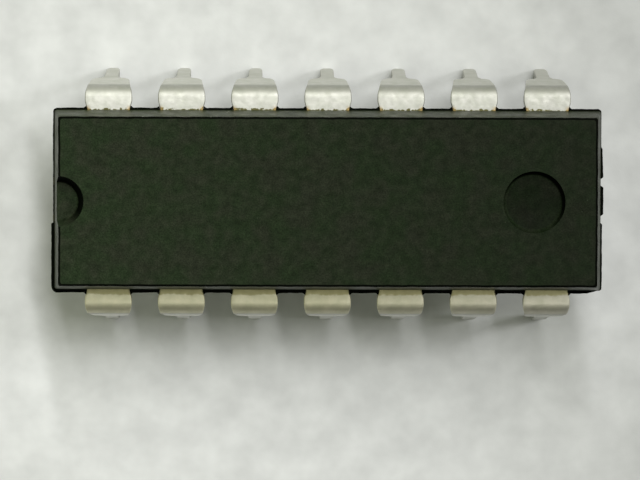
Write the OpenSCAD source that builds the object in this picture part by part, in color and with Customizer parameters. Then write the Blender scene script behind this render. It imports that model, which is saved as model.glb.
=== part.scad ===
// Dual in-line package: a moulded body on a stamped lead frame, with its die and bond wires.
// Millimetres. The lead tips stand on z = 0, x runs along the rows, and the notched end is at -x.

/* [Moulding] */
// Length of moulding past the centre line of the last lead
end_margin = 1.87; // [1.75:0.01:2.3]
// Width of the moulding at the parting line
body_width = 6.24; // [6:0.02:6.6]
// Depth of moulding above the lead frame
upper_depth = 1.53; // [1.3:0.01:1.9]
// Depth of moulding below the lead frame
lower_depth = 1.53; // [1.3:0.01:1.9]
// Draft of the side walls, in degrees
draft = 7.5; // [5:0.5:10]
// Radius of the upright corners
corner_radius = 0.15; // [0.1:0.01:0.25]
// Width of the worn edge round the top and bottom faces
edge_width = 0.04; // [0.02:0.01:0.08]

/* [End notch] */
// Radius of the notch at the top face
notch_radius = 0.87; // [0.7:0.01:1]
// Radius of the notch at its floor
notch_floor_radius = 0.68; // [0.5:0.01:0.69]
// Depth of the notch
notch_depth = 0.6; // [0.3:0.01:0.8]

/* [Ejector marks] */
// Radius of the mark in the top face
top_mark_radius = 1.07; // [0.8:0.01:1.4]
// Distance from the plain end of the moulding to the centre of each mark
mark_inset = 2.4; // [2:0.05:3]
// Radius of the two marks in the underside
under_mark_radius = 0.9; // [0.6:0.05:1.2]
// Depth of the marks
mark_depth = 0.16; // [0.05:0.01:0.2]
// Slope run of the wall round each mark
mark_wall = 0.06; // [0.02:0.01:0.1]

/* [Flash] */
// Flash left along the rear row
flash_rear = 0.07; // [0.04:0.005:0.12]
// Flash left along the front row
flash_front = 0.115; // [0.04:0.005:0.14]
// Flash left at the notched end
flash_left = 0.05; // [0.03:0.005:0.1]
// Heavier flash at the front half of the notched end
flash_left_heavy = 0.12; // [0.11:0.005:0.15]
// Flash left between the tie bars at the plain end
flash_tab = 0.1; // [0.05:0.005:0.14]
// Thin flash left beside them
flash_thin = 0.055; // [0.03:0.005:0.09]
// Distance from the centre line to where the heavier flash starts
flash_heavy_start = 0.84; // [0.7:0.01:1.2]
// Distance from the centre line to where the plain end's rear flash stops
flash_rear_stop = 1.87; // [1.2:0.01:2.4]
// Slant of each end of a strip of flash
flash_slant = 0.06; // [0.03:0.01:0.1]
// Length of flash broken off the front corner of the plain end
flash_break = 0.45; // [0.3:0.05:0.8]

/* [Lead frame] */
// Leads in each row
leads_per_row = 7; // [6:1:8]
// Distance between neighbouring leads
pitch = 2.54; // [2.45:0.01:2.7]
// Thickness of the sheet
sheet = 0.25; // [0.2:0.01:0.3]
// Depth that the wide part of each lead reaches into the moulding
lead_anchor = 0.55; // [0.45:0.05:0.6]
// Width of the inner fingers
finger_width = 0.34; // [0.28:0.01:0.38]
// Gap between neighbouring strips of the frame
finger_gap = 0.21; // [0.16:0.01:0.24]

/* [Leads] */
// Width of a lead where it leaves the moulding
neck_width = 1.5; // [1.42:0.01:1.56]
// Width of a lead over its shoulder
shoulder_width = 1.64; // [1.57:0.01:1.75]
// Length over which the neck widens to the shoulder
neck_length = 0.34; // [0.2:0.01:0.36]
// Distance from the moulding to the outside of a shoulder
shoulder_reach = 0.87; // [0.8:0.01:1.1]
// Inside radius of the bend
bend_radius = 0.2; // [0.12:0.01:0.24]
// Outward lean of the legs, in degrees
splay = 6.2; // [2:0.1:9]
// Width of a leg at the end of its bend
leg_width = 1.49; // [1.42:0.01:1.56]
// Width of a leg at its foot
foot_width = 1.36; // [1.2:0.01:1.4]
// Radius of the corners of its foot
foot_radius = 0.15; // [0.05:0.01:0.2]
// Height of the underside of the moulding above the foot
standoff = 0.5; // [0.38:0.01:0.8]
// Width of the pin below the foot
pin_width = 0.48; // [0.4:0.01:0.56]
// Length of the pin below the foot
pin_length = 3.1; // [2.8:0.05:3.6]
// Radius in the corners between the foot and the pin
root_radius = 0.12; // [0.04:0.01:0.15]
// Chamfer on the tip of the pin
tip_chamfer = 0.12; // [0.04:0.01:0.15]

/* [Die paddle] */
// Length of the paddle
paddle_length = 3.6; // [3.2:0.05:3.9]
// Width of the paddle
paddle_width = 2.8; // [2.5:0.05:3]
// Depth that the paddle is set below the leads
downset = 0.2; // [0.1:0.01:0.35]
// Width of each tie bar
tie_width = 0.25; // [0.2:0.01:0.3]
// Distance from the centre line to each tie bar
tie_offset = 0.645; // [0.55:0.005:0.68]
// Length of level tie bar beside the paddle
tie_level = 0.3; // [0.2:0.05:0.5]
// Length over which a tie bar rises to the leads
tie_rise = 0.35; // [0.25:0.05:0.6]

/* [Die] */
// Length of the die
die_length = 1.5; // [1.2:0.05:1.8]
// Width of the die
die_width = 1.3; // [1:0.05:1.6]
// Thickness of the die
die_thickness = 0.28; // [0.2:0.01:0.35]
// Thickness of the adhesive under it
attach_thickness = 0.03; // [0.02:0.005:0.05]
// Adhesive squeezed out past each side of the die
attach_margin = 0.07; // [0.03:0.01:0.12]

/* [Bond wires] */
// Radius of the wire
wire_radius = 0.015; // [0.012:0.001:0.02]
// Radius of the ball on the die
ball_radius = 0.04; // [0.03:0.005:0.05]
// Rise of each wire above its ends
wire_rise = 0.3; // [0.2:0.01:0.5]
// Distance from the edge of the die to the centre of a ball
pad_inset = 0.08; // [0.06:0.01:0.12]
// Distance from the end of a finger to its stitch
stitch_inset = 0.18; // [0.1:0.01:0.25]

/* [Hidden] */
lead_count = 2 * leads_per_row;
function two_digits(n) = str(n < 10 ? "0" : "", n);

$fn = 64;
// Facets of the rounded corners of the moulding
corner_facets = 32;
// Thickness of the discs that the moulding is stretched over
film = 0.001;
// Overlap of shapes that are joined into one piece
weld = 0.05;
// Reach of a cutting shape past what it cuts
past = 1;

mould_black = [0.17, 0.19, 0.14];
tin = [0.82, 0.82, 0.76];
frame_metal = [0.78, 0.62, 0.46];
adhesive = [0.6, 0.6, 0.58];
silicon = [0.34, 0.36, 0.42];
gold = [0.95, 0.77, 0.3];

// Heights
underside = pin_length + standoff;
sheet_bottom = underside + lower_depth;
sheet_top = sheet_bottom + sheet;
top = sheet_top + upper_depth;
paddle_top = sheet_top - downset;
attach_top = paddle_top + attach_thickness;
die_top = attach_top + die_thickness;

// The moulding at the parting line, and how far its draft draws a wall in at some depth
half_length = (leads_per_row - 1) * pitch / 2 + end_margin;
half_width = body_width / 2;
function drawn_in(depth) = depth * tan(draft);

// The bend: its centre, half the angle that it turns through, and where the leg's inside leaves it
outer_radius = bend_radius + sheet;
half_turn = (90 - splay) / 2;
bend_out = half_width + shoulder_reach - outer_radius;
bend_height = sheet_top - outer_radius;
bend_end = bend_height + bend_radius * sin(splay);
leg_length = (outer_radius + bend_height) / cos(splay) + past;

// The fan of inner fingers: two from each corner end at the paddle's short sides
end_fingers = 2;
side_fingers = leads_per_row - 2 * end_fingers;
anchor_end = half_width - lead_anchor;
finger_end_x = paddle_length / 2 + finger_gap;
finger_end_y = paddle_width / 2 + finger_gap;
finger_pitch = (paddle_length - finger_width) / side_fingers;
finger_stub = 0.2;
finger_knee = 0.5;
finger_start = 0.08;
// The die's corners stay free of pads
pad_pitch = (die_length - 4 * pad_inset) / side_fingers;

// Stations along a wire, each with its angle round the loop and its radius
wire_sides = 6;
loop_steps = 9;
loop_start = 9;
loop_end = 175;
stitch_radius = 1.5 * wire_radius;
ball_stations = [[0, ball_radius], [loop_start / 2, ball_radius]];
loop_stations = [
    for (i = [0:loop_steps - 1])
        [loop_start + (loop_end - loop_start) * i / (loop_steps - 1), wire_radius]
];
wire_stations = concat(ball_stations, loop_stations, [[180, stitch_radius]]);

// Place of a lead in its row, counted along +x and centred on the row
function place(n) = (leads_per_row - 1) / 2 - (n - 1) % leads_per_row;
function rank(n) = min((n - 1) % leads_per_row, leads_per_row - 1 - (n - 1) % leads_per_row);
function at_end(n) = rank(n) < end_fingers;

// Distance of a finger that runs to the paddle's short side from the centre line
function level(n) =
    tie_offset + tie_width / 2 + finger_gap + finger_width / 2 + rank(n) * (finger_width + finger_gap);

// Centre line of a lead's inner finger, from its anchor to its end
function finger_line(n) =
    let (x = place(n) * pitch, side = sign(x), anchor = [x, anchor_end + weld])
    at_end(n)
        ? [
            anchor,
            [x, level(n) + finger_knee],
            [x - side * finger_knee, level(n)],
            [side * finger_end_x, level(n)]
        ]
        : [
            anchor,
            [x, anchor_end - finger_start],
            [place(n) * finger_pitch, finger_end_y + finger_stub],
            [place(n) * finger_pitch, finger_end_y]
        ];

// Where a wire is stitched to its finger, and where its ball sits on the die
function stitch(n) =
    at_end(n)
        ? [sign(place(n)) * (finger_end_x + stitch_inset), level(n), sheet_top]
        : [place(n) * finger_pitch, finger_end_y + stitch_inset, sheet_top];
function pad(n) =
    at_end(n)
        ? [
            sign(place(n)) * (die_length / 2 - pad_inset),
            (rank(n) + 0.5) / end_fingers * (die_width / 2 - pad_inset),
            die_top
        ]
        : [place(n) * pad_pitch, die_width / 2 - pad_inset, die_top];

// Outline of a strip of even width along a centre line, with mitred corners
function unit(v) = v / norm(v);
function left_of(v) = [-v[1], v[0]];
function edge_normal(line, i) = left_of(unit(line[i + 1] - line[i]));
function mitre(line, i) =
    let (a = edge_normal(line, max(i - 1, 0)), b = edge_normal(line, min(i, len(line) - 2)))
    (a + b) / (1 + a * b);
function strip(line, width) = concat(
    [for (i = [0:len(line) - 1]) line[i] + mitre(line, i) * width / 2],
    [for (i = [len(line) - 1:-1:0]) line[i] - mitre(line, i) * width / 2]
);

// A wire's loop: half an ellipse that stands upright on both of its ends
function loop_point(from, to, angle) =
    let (go = to - from, swing = (1 - cos(angle)) / 2)
    [
        from[0] + go[0] * swing,
        from[1] + go[1] * swing,
        from[2] + go[2] * angle / 180 + wire_rise * sin(angle)
    ];
function loop_direction(from, to, angle) =
    let (go = to - from)
    unit([go[0] * sin(angle) / 2, go[1] * sin(angle) / 2, go[2] / PI + wire_rise * cos(angle)]);
function loop_ring(from, to, station) =
    let (
        flat = unit([to[0] - from[0], to[1] - from[1], 0]),
        side = [-flat[1], flat[0], 0],
        across = cross(side, loop_direction(from, to, station[0]))
    )
    [
        for (i = [0:wire_sides - 1])
            let (turn = 360 * i / wire_sides)
            loop_point(from, to, station[0]) + station[1] * (cos(turn) * side + sin(turn) * across)
    ];

// A solid tube through rings of equal numbers of points
module tube(rings) {
    sides = len(rings[0]);
    last = len(rings) - 1;
    walls = [
        for (k = [0:last - 1], i = [0:sides - 1])
            let (next = (i + 1) % sides)
            each [
                [k * sides + i, k * sides + next, (k + 1) * sides + next],
                [k * sides + i, (k + 1) * sides + next, (k + 1) * sides + i]
            ]
    ];
    caps = [[for (i = [sides - 1:-1:0]) i], [for (i = [0:sides - 1]) last * sides + i]];
    polyhedron([for (ring = rings) each ring], concat(caps, walls));
}

// The front row is the rear row turned half round, so numbers run round the package
module in_row(n) {
    rotate([0, 0, n > leads_per_row ? 0 : 180])
        children();
}

module rounded_rectangle(low, high, radius) {
    translate([low[0] + radius, low[1]])
        square([high[0] - low[0] - 2 * radius, high[1] - low[1]]);
    translate([low[0], low[1] + radius])
        square([high[0] - low[0], high[1] - low[1] - 2 * radius]);
    for (x = [low[0] + radius, high[0] - radius], y = [low[1] + radius, high[1] - radius])
        translate([x, y])
            circle(radius);
}

// The flat part of a lead: inner finger, anchor, neck and shoulder
module lead_flat(n) {
    x = place(n) * pitch;
    neck_end = min(half_width + neck_length, bend_out);
    in_row(n)
        translate([0, 0, sheet_bottom])
            linear_extrude(sheet) {
                polygon(strip(finger_line(n), finger_width));
                polygon([
                    [x - neck_width / 2, anchor_end],
                    [x - neck_width / 2, half_width],
                    [x - shoulder_width / 2, neck_end],
                    [x - shoulder_width / 2, bend_out],
                    [x + shoulder_width / 2, bend_out],
                    [x + shoulder_width / 2, neck_end],
                    [x + neck_width / 2, half_width],
                    [x + neck_width / 2, anchor_end]
                ]);
            }
}

// The bend and the leg seen from the end of the row: x is outward and y is up
module leg_section() {
    translate([bend_out, bend_height]) {
        intersection() {
            difference() {
                circle(outer_radius);
                circle(bend_radius);
            }
            polygon([
                [0, 0],
                [0, 2 * outer_radius],
                [2 * outer_radius, 2 * outer_radius],
                2 * outer_radius * [1, tan(splay)]
            ]);
        }
        rotate(splay)
            translate([bend_radius, -leg_length])
                square([sheet, leg_length]);
    }
}

// The lead seen square to the middle of its bend, where it narrows from the shoulder to the leg
module bend_front() {
    half_shoulder = shoulder_width / 2;
    half_leg = leg_width / 2;
    start = bend_radius * sin(half_turn);
    end = -outer_radius * sin(half_turn);
    polygon([
        [-half_shoulder, past],
        [-half_shoulder, start],
        [-half_leg, end],
        [-half_leg, -leg_length],
        [half_leg, -leg_length],
        [half_leg, end],
        [half_shoulder, start],
        [half_shoulder, past]
    ]);
}

// The lead seen from the front: wide above the foot and narrow below it
module leg_front() {
    half_shoulder = shoulder_width / 2;
    half_leg = leg_width / 2;
    half_foot = foot_width / 2;
    half_pin = pin_width / 2;
    polygon([
        [-half_shoulder, top],
        [-half_shoulder, sheet_bottom],
        [-half_leg, bend_end],
        [-half_foot, pin_length + foot_radius],
        [half_foot, pin_length + foot_radius],
        [half_leg, bend_end],
        [half_shoulder, sheet_bottom],
        [half_shoulder, top]
    ]);
    rounded_rectangle(
        [-half_foot, pin_length],
        [half_foot, pin_length + 2 * foot_radius + weld],
        foot_radius
    );
    polygon([
        [-half_pin, pin_length + weld],
        [-half_pin, tip_chamfer],
        [tip_chamfer - half_pin, 0],
        [half_pin - tip_chamfer, 0],
        [half_pin, tip_chamfer],
        [half_pin, pin_length + weld]
    ]);
    for (side = [-1, 1])
        difference() {
            translate([side * (half_pin + root_radius / 2), pin_length + (weld - root_radius) / 2])
                square([root_radius, root_radius + weld], center = true);
            translate([side * (half_pin + root_radius), pin_length - root_radius])
                circle(root_radius);
        }
}

module lead_leg(n) {
    in_row(n)
        translate([place(n) * pitch, 0, 0])
            intersection() {
                rotate([90, 0, 90])
                    linear_extrude(shoulder_width, center = true)
                        leg_section();
                translate([0, bend_out, bend_height])
                    rotate([180 - half_turn, 0, 0])
                        linear_extrude(2 * leg_length, center = true)
                            bend_front();
                rotate([90, 0, 180])
                    linear_extrude(2 * body_width)
                        leg_front();
            }
}

module lead(n) {
    color(tin)
        union() {
            lead_flat(n);
            lead_leg(n);
        }
}

module tie_bar(end) {
    level_end = paddle_length / 2 + tie_level;
    line = [
        [paddle_length / 2 - weld, paddle_top - sheet / 2],
        [level_end, paddle_top - sheet / 2],
        [level_end + tie_rise, sheet_bottom + sheet / 2],
        [half_length + (end < 0 ? flash_left : 0), sheet_bottom + sheet / 2]
    ];
    for (side = [-1, 1])
        mirror([end < 0 ? 1 : 0, 0, 0])
            translate([0, side * tie_offset, 0])
                rotate([90, 0, 0])
                    linear_extrude(tie_width, center = true)
                        polygon(strip(line, sheet));
}

module die_paddle() {
    color(frame_metal)
        union() {
            translate([0, 0, paddle_top - sheet])
                linear_extrude(sheet)
                    square([paddle_length, paddle_width], center = true);
            tie_bar(-1);
            tie_bar(1);
        }
}

module die_attach() {
    reach = [die_length, die_width] / 2 + [attach_margin, attach_margin];
    color(adhesive)
        translate([0, 0, paddle_top])
            linear_extrude(attach_thickness)
                rounded_rectangle(-reach, reach, attach_margin);
}

module silicon_die() {
    color(silicon)
        translate([-die_length / 2, -die_width / 2, attach_top])
            cube([die_length, die_width, die_thickness]);
}

module bond_wire(n) {
    color(gold)
        in_row(n)
            tube([for (station = wire_stations) loop_ring(pad(n), stitch(n), station)]);
}

// Corner discs of one level of the moulding, drawn in by inset on every side
module corner_discs(height, inset) {
    reach = [half_length, half_width] - [1, 1] * (corner_radius + inset);
    for (x = [-1, 1], y = [-1, 1])
        translate([x * reach[0], y * reach[1], height])
            linear_extrude(film)
                circle(corner_radius, $fn = corner_facets);
}

// Half of the moulding, from the lead frame up: a drafted block with a worn edge
module moulding_half(depth) {
    hull() {
        corner_discs(0, 0);
        corner_discs(depth - edge_width, drawn_in(depth - edge_width));
        corner_discs(depth - film, drawn_in(depth) + edge_width);
    }
}

// A strip of flash on the plain end, from one place to another, with slanted ends
module end_flash(from, to, from_width, to_width) {
    translate([half_length, 0])
        polygon([
            [-weld, from],
            [0, from],
            [from_width, from + flash_slant],
            [to_width, to - flash_slant],
            [0, to],
            [-weld, to]
        ]);
}

// The parting line seen from above: the moulding's outline and the flash left round it
module parting_outline() {
    inner_edge = tie_offset - tie_width / 2;
    outer_edge = tie_offset + tie_width / 2;
    front_edge = -half_width - flash_front;
    rounded_rectangle([-half_length, -half_width], [half_length, half_width], corner_radius);
    difference() {
        union() {
            rounded_rectangle(
                [-half_length - flash_left, front_edge],
                [half_length, half_width + flash_rear],
                corner_radius
            );
            rounded_rectangle(
                [-half_length - flash_left_heavy, front_edge],
                [-half_length + corner_radius + weld, -flash_heavy_start],
                corner_radius
            );
        }
        polygon([
            [half_length - flash_break, front_edge],
            [half_length - flash_break / 4, -half_width],
            [half_length + past, -half_width],
            [half_length + past, front_edge - past],
            [half_length - flash_break, front_edge - past]
        ]);
    }
    end_flash(outer_edge, flash_rear_stop, flash_tab, flash_thin);
    end_flash(-inner_edge, inner_edge, flash_tab, flash_tab);
    end_flash(corner_radius - half_width, -outer_edge, flash_thin, flash_thin);
}

module ejector_mark(x, radius) {
    translate([x, 0, -mark_depth])
        cylinder(mark_depth + past, r1 = radius - mark_wall, r2 = radius + mark_wall * past / mark_depth);
}

module end_notch() {
    slope = (notch_radius - notch_floor_radius) / notch_depth;
    translate([drawn_in(upper_depth) - half_length, 0, top - notch_depth])
        cylinder(notch_depth + past, r1 = notch_floor_radius, r2 = notch_radius + slope * past);
}

module body() {
    mark_x = half_length - mark_inset;
    color(mould_black)
        difference() {
            union() {
                translate([0, 0, sheet_top])
                    moulding_half(upper_depth);
                translate([0, 0, sheet_bottom])
                    linear_extrude(sheet)
                        parting_outline();
                translate([0, 0, sheet_bottom])
                    mirror([0, 0, 1])
                        moulding_half(lower_depth);
            }
            for (n = [1:lead_count]) {
                lead_flat(n);
                bond_wire(n);
            }
            die_paddle();
            die_attach();
            silicon_die();
            end_notch();
            translate([0, 0, top])
                ejector_mark(mark_x, top_mark_radius);
            translate([0, 0, underside])
                mirror([0, 0, 1])
                    for (x = [-mark_x, mark_x])
                        ejector_mark(x, under_mark_radius);
        }
}

body();
die_paddle();
die_attach();
silicon_die();
for (n = [1:lead_count]) {
    lead(n);
    bond_wire(n);
}
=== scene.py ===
"""The looks of a dual in-line package chip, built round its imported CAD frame.

Lengths are millimetres until a mesh is made. In the frame x runs along the rows, the notched
end is at -x, the rear row is at +y, and the lead tips stand on z = 0.
"""

import math

import bpy
from mathutils import Matrix, Vector, noise


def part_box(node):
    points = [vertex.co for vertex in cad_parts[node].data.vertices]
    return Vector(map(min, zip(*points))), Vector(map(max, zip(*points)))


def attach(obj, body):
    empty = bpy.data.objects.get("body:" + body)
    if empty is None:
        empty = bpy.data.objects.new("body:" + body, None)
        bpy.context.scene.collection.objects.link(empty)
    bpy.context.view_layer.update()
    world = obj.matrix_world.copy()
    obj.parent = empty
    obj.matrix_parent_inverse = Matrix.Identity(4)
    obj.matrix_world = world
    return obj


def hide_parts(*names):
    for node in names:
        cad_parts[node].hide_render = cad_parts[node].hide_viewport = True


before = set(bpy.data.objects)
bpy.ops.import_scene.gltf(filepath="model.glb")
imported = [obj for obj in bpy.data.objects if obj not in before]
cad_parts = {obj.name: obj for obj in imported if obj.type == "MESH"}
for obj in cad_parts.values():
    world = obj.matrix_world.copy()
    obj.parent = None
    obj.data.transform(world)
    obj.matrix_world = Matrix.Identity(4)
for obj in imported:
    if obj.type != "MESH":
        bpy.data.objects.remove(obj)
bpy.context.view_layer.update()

MM = 0.001
BODY = "root"
UP = Vector((0, 0, 1))


def node_box(name):
    """Lowest and highest corner of a CAD node, in millimetres."""
    low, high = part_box(name)
    return low / MM, high / MM


# Sizes of the moulding: flash, corners, notch and marks
FLASH_REAR = 0.07
FLASH_FRONT = 0.115
FLASH_LEFT = 0.05
FLASH_LEFT_HEAVY = 0.112
FLASH_TAB = 0.096
FLASH_THIN = 0.055
FLASH_HEAVY_START = -0.84
FLASH_REAR_STOP = 1.87
FLASH_BREAK = 0.45
FLASH_SLANT = 0.06
FLASH_PROUD = 0.005
FLASH_EDGE = 0.02
FLASH_BEVEL = 0.3
FLASH_LEAST = 0.012
FLASH_BY_TIE = 0.15
FLASH_BREAK_RUN = 0.75
CLIMB_WIDTH = 0.065
CLIMB_PLACE = 0.03
CLIMB_SPREAD = 0.045
SLOT_DEPTH = 0.02
SLOT_CLEARANCE = 0.004
CORNER_RADIUS = 0.09
DRAFT = math.radians(7.5)
WORN_EDGE = 0.045
TIE_OFFSET = 0.645
TIE_WIDTH = 0.25
NOTCH_RADIUS = 0.87
NOTCH_FLOOR_RADIUS = 0.68
NOTCH_DEPTH = 0.6
NOTCH_FILLET = 0.1
MARK_INSET = 2.4
TOP_MARK_RADIUS = 1.07
UNDER_MARK_RADIUS = 0.9
MARK_DEPTH = 0.16
MARK_WALL = 0.09
MARK_FILLET = 0.13
MARK_DISH = 0.04
MARK_LEAN_AXIS = Vector((-0.35, 1, 0))
MARK_LEAN = Matrix.Rotation(math.radians(2.2), 3, MARK_LEAN_AXIS)

# Sizes of the leads
LEADS_PER_ROW = 7
SHEET = 0.25
LEAD_ANCHOR = 0.55
FINGER_WIDTH = 0.34
FINGER_GAP = 0.21
FINGER_KNEE = 0.5
FINGER_STUB = 0.2
FINGER_START = 0.08
END_FINGERS = 2
PADDLE = (3.6, 2.8)
NECK_WIDTH = 1.5
SHOULDER_WIDTH = 1.64
NECK_LENGTH = 0.34
SHOULDER_REACH = 0.87
SHOULDER_DIP = 0.02
BEND_RADIUS = 0.2
SPLAY = math.radians(6.2)
LEG_WIDTH = 1.49
FOOT_WIDTH = 1.36
FOOT_RADIUS = 0.22
FOOT_RISE = 0.65
PIN_WIDTH = 0.48
PIN_LENGTH = 3.1
FOOT_SLOPE = 0.03
ROOT_RADIUS = 0.2
ROOT_DROP = 0.8
TIP_CHAMFER = 0.17
TIP_TAPER = 0.8
TIP_THINNING = 0.3
TIP_LIFT = 0.012

# Places read from the frame
body_low, body_high = node_box("body")
lead_low, lead_high = node_box("lead_01")
paddle_high = node_box("die_paddle")[1]
SHEET_TOP = lead_high.z
SHEET_BOTTOM = SHEET_TOP - SHEET
HALF_LENGTH = paddle_high.x
HALF_WIDTH = body_high.y - FLASH_REAR
TOP = body_high.z
UNDERSIDE = body_low.z
ROW_END = lead_low.x

# Sizes that follow from them
PITCH = -2 * (ROW_END + SHOULDER_WIDTH / 2) / (LEADS_PER_ROW - 1)
BEND_OUT = HALF_WIDTH + SHOULDER_REACH - BEND_RADIUS - SHEET
BEND_HEIGHT = SHEET_TOP - BEND_RADIUS - SHEET
ANCHOR_END = HALF_WIDTH - LEAD_ANCHOR
SHOULDER_SLOPE = 2 * SHOULDER_DIP / (BEND_OUT - HALF_WIDTH)


# Meshes


def mesh_object(name, points, faces, materials, face_slots=None):
    """An object from points in millimetres."""
    mesh = bpy.data.meshes.new(name)
    mesh.from_pydata([Vector(p) * MM for p in points], [], faces)
    for material in materials:
        mesh.materials.append(material)
    if face_slots:
        mesh.polygons.foreach_set("material_index", face_slots)
    made = bpy.data.objects.new(name, mesh)
    bpy.context.scene.collection.objects.link(made)
    return made


def shade(piece, sharp_angle):
    """Smooth shading with sharp edges past an angle in degrees."""
    piece.data.shade_smooth()
    piece.data.set_sharp_from_angle(angle=math.radians(sharp_angle))


def tube_faces(rows, around):
    """Faces of a closed skin over rings of points, with a face over each end."""
    sides = [
        (k * around + i, k * around + (i + 1) % around,
         (k + 1) * around + (i + 1) % around, (k + 1) * around + i)
        for k in range(rows - 1)
        for i in range(around)
    ]
    first = tuple(reversed(range(around)))
    last = tuple(range((rows - 1) * around, rows * around))
    return sides + [first, last]


def eased(share):
    """Share from 0 to 1 with a soft start and end."""
    return share * share * (3 - 2 * share)


SEED_SKEW = 0.7


def wander(point, size, seed=0.0):
    """Smooth noise from -1 to 1 that changes over about `size` millimetres."""
    return noise.noise(Vector(point) / size + Vector((seed, seed * SEED_SKEW, -seed)))


# Leads

FACE_POINTS = 17
CORNER_POINTS = 5
EDGE_ROUND = 0.04
EDGE_SHARE = 0.8
COAT_WAVE = 0.0035
COAT_SIZE = 0.35
ANCHOR_STEPS = 4
NECK_STEPS = 12
SHOULDER_STEPS = 3
BEND_STEPS = 16
LEG_STEPS = 20
ROUND_STEPS = 6
PIN_STEPS = 30
FIRST_STEP = 0.004
LEAD_SHARP = 50


def place(n):
    """Place of lead n in its row, counted along +x of the rear row."""
    return (LEADS_PER_ROW - 1) / 2 - (n - 1) % LEADS_PER_ROW


def rank(n):
    """Leads between lead n and the nearer end of its row."""
    spot = (n - 1) % LEADS_PER_ROW
    return min(spot, LEADS_PER_ROW - 1 - spot)


def finger_line(n):
    """Centre line of a lead's inner finger, from its end out to its anchor."""
    x = place(n) * PITCH
    side = math.copysign(1, x)
    anchor = Vector((x, ANCHOR_END))
    if rank(n) < END_FINGERS:
        step = FINGER_WIDTH + FINGER_GAP
        level = TIE_OFFSET + TIE_WIDTH / 2 + FINGER_GAP + FINGER_WIDTH / 2 + rank(n) * step
        end_x = side * (PADDLE[0] / 2 + FINGER_GAP)
        return [
            Vector((end_x, level)),
            Vector((x - side * FINGER_KNEE, level)),
            Vector((x, level + FINGER_KNEE)),
            anchor,
        ]
    side_fingers = LEADS_PER_ROW - 2 * END_FINGERS
    tip_x = place(n) * (PADDLE[0] - FINGER_WIDTH) / side_fingers
    end_y = PADDLE[1] / 2 + FINGER_GAP
    return [
        Vector((tip_x, end_y)),
        Vector((tip_x, end_y + FINGER_STUB)),
        Vector((x, ANCHOR_END - FINGER_START)),
        anchor,
    ]


def finger_rows(n):
    """Rows of the inner finger: middle, way across, way out, half width, half thickness."""
    line = finger_line(n)
    ways = [(b - a).normalized() for a, b in zip(line, line[1:])]
    rows = []
    for i, point in enumerate(line):
        before, after = ways[max(i - 1, 0)], ways[min(i, len(ways) - 1)]
        left = [Vector((-way.y, way.x)) for way in (before, after)]
        across = (left[0] + left[1]) / (1 + left[0].dot(left[1]))
        middle = Vector((point.x, point.y, SHEET_TOP - SHEET / 2))
        rows.append((middle, across.to_3d(), UP, FINGER_WIDTH / 2, SHEET / 2))
    return rows


def flat_rows(n):
    """Rows of the anchor, the neck and the shoulder."""
    neck, shoulder = NECK_WIDTH / 2, SHOULDER_WIDTH / 2
    profile = [(ANCHOR_END + FIRST_STEP, neck - EDGE_ROUND), (ANCHOR_END + EDGE_ROUND, neck)]
    profile += [
        (ANCHOR_END + LEAD_ANCHOR * i / ANCHOR_STEPS, neck) for i in range(1, ANCHOR_STEPS + 1)
    ]
    for i in range(1, NECK_STEPS + 1):
        share = i / NECK_STEPS
        half = neck + (shoulder - neck) * eased(share)
        profile.append((HALF_WIDTH + NECK_LENGTH * share, half))
    start = HALF_WIDTH + NECK_LENGTH
    profile += [
        (start + (BEND_OUT - start) * i / SHOULDER_STEPS, shoulder)
        for i in range(1, SHOULDER_STEPS)
    ]
    rows = []
    for y, half in profile:
        share = max(0, (y - HALF_WIDTH) / (BEND_OUT - HALF_WIDTH))
        slope = share * SHOULDER_SLOPE
        middle = Vector((place(n) * PITCH, y, SHEET_TOP - SHEET / 2 - share**2 * SHOULDER_DIP))
        rows.append((middle, Vector((-1, 0, 0)), Vector((0, math.sin(slope), math.cos(slope))),
                     half, SHEET / 2))
    return rows


def bend_rows(n):
    """Rows round the bend, out to where the leg starts: the lead narrows on the way."""
    radius = BEND_RADIUS + SHEET / 2
    rows = []
    first, last = SHOULDER_SLOPE, math.pi / 2 - SPLAY
    for i in range(BEND_STEPS + 1):
        angle = first + (last - first) * i / BEND_STEPS
        out = Vector((0, math.sin(angle), math.cos(angle)))
        middle = Vector((place(n) * PITCH, BEND_OUT, BEND_HEIGHT - SHOULDER_DIP)) + radius * out
        half = (SHOULDER_WIDTH + (LEG_WIDTH - SHOULDER_WIDTH) * eased(i / BEND_STEPS)) / 2
        rows.append((middle, Vector((-1, 0, 0)), out, half, SHEET / 2))
    return rows


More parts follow.
